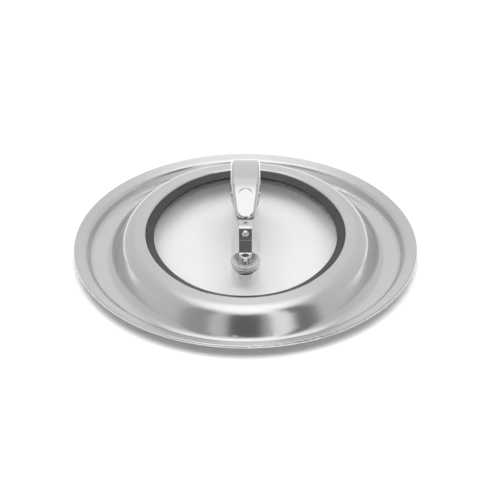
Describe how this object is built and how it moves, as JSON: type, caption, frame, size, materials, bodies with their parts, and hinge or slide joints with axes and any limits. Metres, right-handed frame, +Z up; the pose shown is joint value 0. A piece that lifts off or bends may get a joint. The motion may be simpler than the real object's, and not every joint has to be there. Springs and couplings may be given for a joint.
{
  "type": "pot lid",
  "caption": "Round stainless pot lid with a sunken ring, a raised oval neck, a sealed glass window and a bow handle with a sprung clip lever.",
  "frame": {"origin": "under the centre of the round lid, on the underside of the sunken ring, where the lid rests on a table", "axes": "+Z up, +Y along the bow handle towards its rear foot and the lever's tail, +X to the right seen from the tongue's end"},
  "size_m": [0.24, 0.24, 0.0528],
  "materials": {
    "lid_steel": "satin, lines round the lid",
    "lever_steel": "polished",
    "bar_steel": "satin",
    "foot_steel": "turned",
    "fastener_steel": "bright",
    "spring_steel": "plain wire",
    "window_glass": "clear, toughened",
    "seal_rubber": "matt black silicone",
    "gasket_rubber": "matt black silicone"
  },
  "bodies": {
    "lid": {"lid_shell": "lid_steel", "window_seal": "seal_rubber", "window_glass": "window_glass", "front_foot": "foot_steel", "rear_foot": "foot_steel", "foot_gaskets": "gasket_rubber", "under_gaskets": "gasket_rubber", "under_washers": "fastener_steel", "lock_washers": "fastener_steel", "foot_nuts": "fastener_steel", "foot_screws": "fastener_steel", "front_bracket": "bar_steel", "rear_bracket": "bar_steel", "bow_strap": "bar_steel", "strap_rivets": "fastener_steel", "pivot_saddle": "bar_steel", "saddle_rivets": "fastener_steel", "pivot_pin": "fastener_steel", "lever_spring": "spring_steel", "spring_post": "fastener_steel"},
    "clip_lever": {"clip_lever": "lever_steel"}
  },
  "joints": [
    {"name": "clip_pivot", "type": "hinge", "parent": "lid", "child": "clip_lever", "pos_m": [0, 0.009, 0.0443], "axis": [-1, 0, 0], "range_deg": [0, 15], "stiffness_Nm_per_rad": 0.1, "springref_deg": -8.59, "deforming": ["lever_spring"]}
  ]
}
